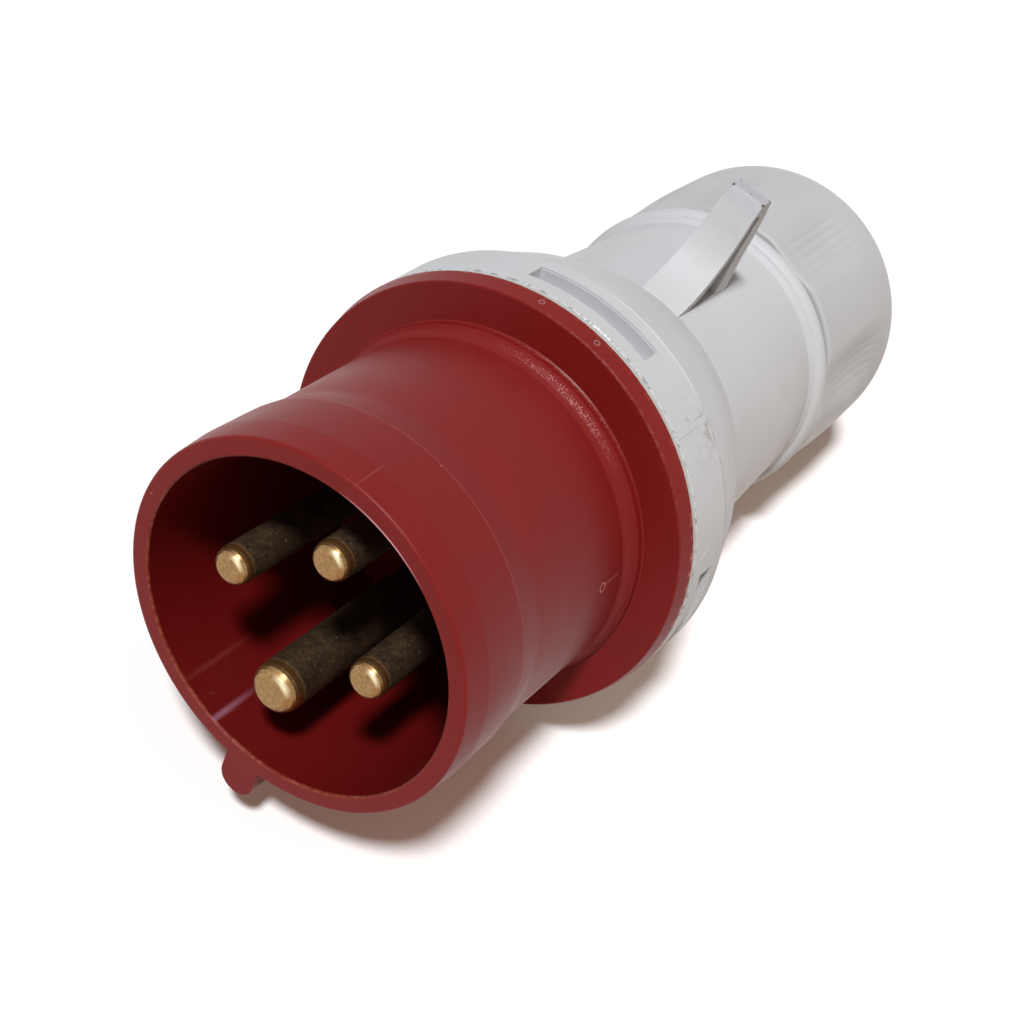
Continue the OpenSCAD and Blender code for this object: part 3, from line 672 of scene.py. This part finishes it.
# floor, room and key light: colours, levels, metres and degrees
studio = {
    "floorSize": 6.0, "floorDrop": 0.0002, "floorSeen": srgb(0.93, 0.93, 0.93), "floorBounce": srgb(0.78, 0.73, 0.68),
    "floorRough": 0.9, "floorSpecular": 0.1, "shadowWarmth": (1.0, 0.55, 0.34), "shadowLevel": 0.09,
    "warmSide": (1.55, 1.22, 1.05), "coolSide": (0.30, 0.36, 0.42), "sideSpan": (-0.6, 0.5), "ambientLevel": 0.19,
    "keyToward": (0.115, -0.44, 0.885), "keySpread": 8.0, "keyStrength": 3.6, "keyColour": (0.98, 1.0, 1.015),
}


def seenDirectly(tree):
    path = tree.nodes.new("ShaderNodeLightPath").outputs
    seen = calc(tree, "MAXIMUM", path["Is Camera Ray"], path["Is Glossy Ray"])
    return calc(tree, "MAXIMUM", seen, path["Is Transmission Ray"])


def floorMaterial():
    made, tree, skin = startMaterial("paleFloor")
    tree.links.new(tint(tree, seenDirectly(tree), studio["floorBounce"], studio["floorSeen"]), skin.inputs["Base Color"])
    skin.inputs["Roughness"].default_value = studio["floorRough"]
    skin.inputs["Specular IOR Level"].default_value = studio["floorSpecular"]
    skin.inputs["Emission Color"].default_value = studio["shadowWarmth"] + (1.0,)
    tree.links.new(calc(tree, "MULTIPLY", seenDirectly(tree), studio["shadowLevel"]), skin.inputs["Emission Strength"])
    return made


def layFloor():
    bm = bmesh.new()
    bmesh.ops.create_grid(bm, x_segments=1, y_segments=1, size=studio["floorSize"] / 2)
    bmesh.ops.translate(bm, vec=(0, 0, cadBox[0][2] - studio["floorDrop"]), verts=bm.verts)
    mesh = bpy.data.meshes.new("floor")
    bm.to_mesh(mesh)
    bm.free()
    floor = addObject("floor", mesh)
    floor.data.materials.append(floorMaterial())


def lightRoom():
    # white where it is seen, a dim warm and cool room for the light it gives
    world = bpy.data.worlds.new("studio")
    bpy.context.scene.world = world
    world.use_nodes = True
    tree = world.node_tree
    tree.nodes.clear()
    side = addNode(tree, "ShaderNodeSeparateXYZ", {0: tree.nodes.new("ShaderNodeTexCoord").outputs["Generated"]}).outputs["X"]
    room = tint(tree, ramp(tree, side, *studio["sideSpan"]), studio["coolSide"] + (1.0,), studio["warmSide"] + (1.0,))
    dim = addNode(tree, "ShaderNodeBackground", {"Color": room, "Strength": studio["ambientLevel"]})
    white = addNode(tree, "ShaderNodeBackground", {"Color": (1, 1, 1, 1), "Strength": 1.0})
    mixed = addNode(tree, "ShaderNodeMixShader", {0: seenDirectly(tree), 1: dim.outputs[0], 2: white.outputs[0]})
    addNode(tree, "ShaderNodeOutputWorld", {"Surface": mixed.outputs[0]})


def hangKey():
    key = bpy.data.lights.new("softbox", "SUN")
    key.angle = math.radians(studio["keySpread"])
    key.energy = studio["keyStrength"]
    key.color = studio["keyColour"]
    lamp = addObject("softbox", key)
    lamp.location = Vector(studio["keyToward"])
    lamp.rotation_euler = (-Vector(studio["keyToward"])).to_track_quat("-Z", "Y").to_euler()


cameraPlan = {"place": (0.07479, -0.19966, 0.18089), "aim": (0.00532, -0.0207, 0.01539), "roll": 17.535, "lens": 49.956, "sensor": 36,
              "shiftX": -0.01454, "shiftY": 0.05986, "near": 0.01}


def placeCamera():
    plan = cameraPlan
    data = bpy.data.cameras.new("camera")
    data.sensor_width = plan["sensor"]
    data.lens = plan["lens"]
    data.shift_x, data.shift_y = plan["shiftX"], plan["shiftY"]
    data.clip_start = plan["near"]
    camera = addObject("camera", data)
    look = (Vector(plan["aim"]) - Vector(plan["place"])).to_track_quat("-Z", "Y").to_matrix().to_4x4()
    camera.matrix_world = Matrix.Translation(plan["place"]) @ look @ Matrix.Rotation(math.radians(plan["roll"]), 4, "Z")
    bpy.context.scene.camera = camera


layFloor()
lightRoom()
hangKey()
placeCamera()
bpy.context.scene.view_settings.view_transform = "Standard"
print("studio and camera set")
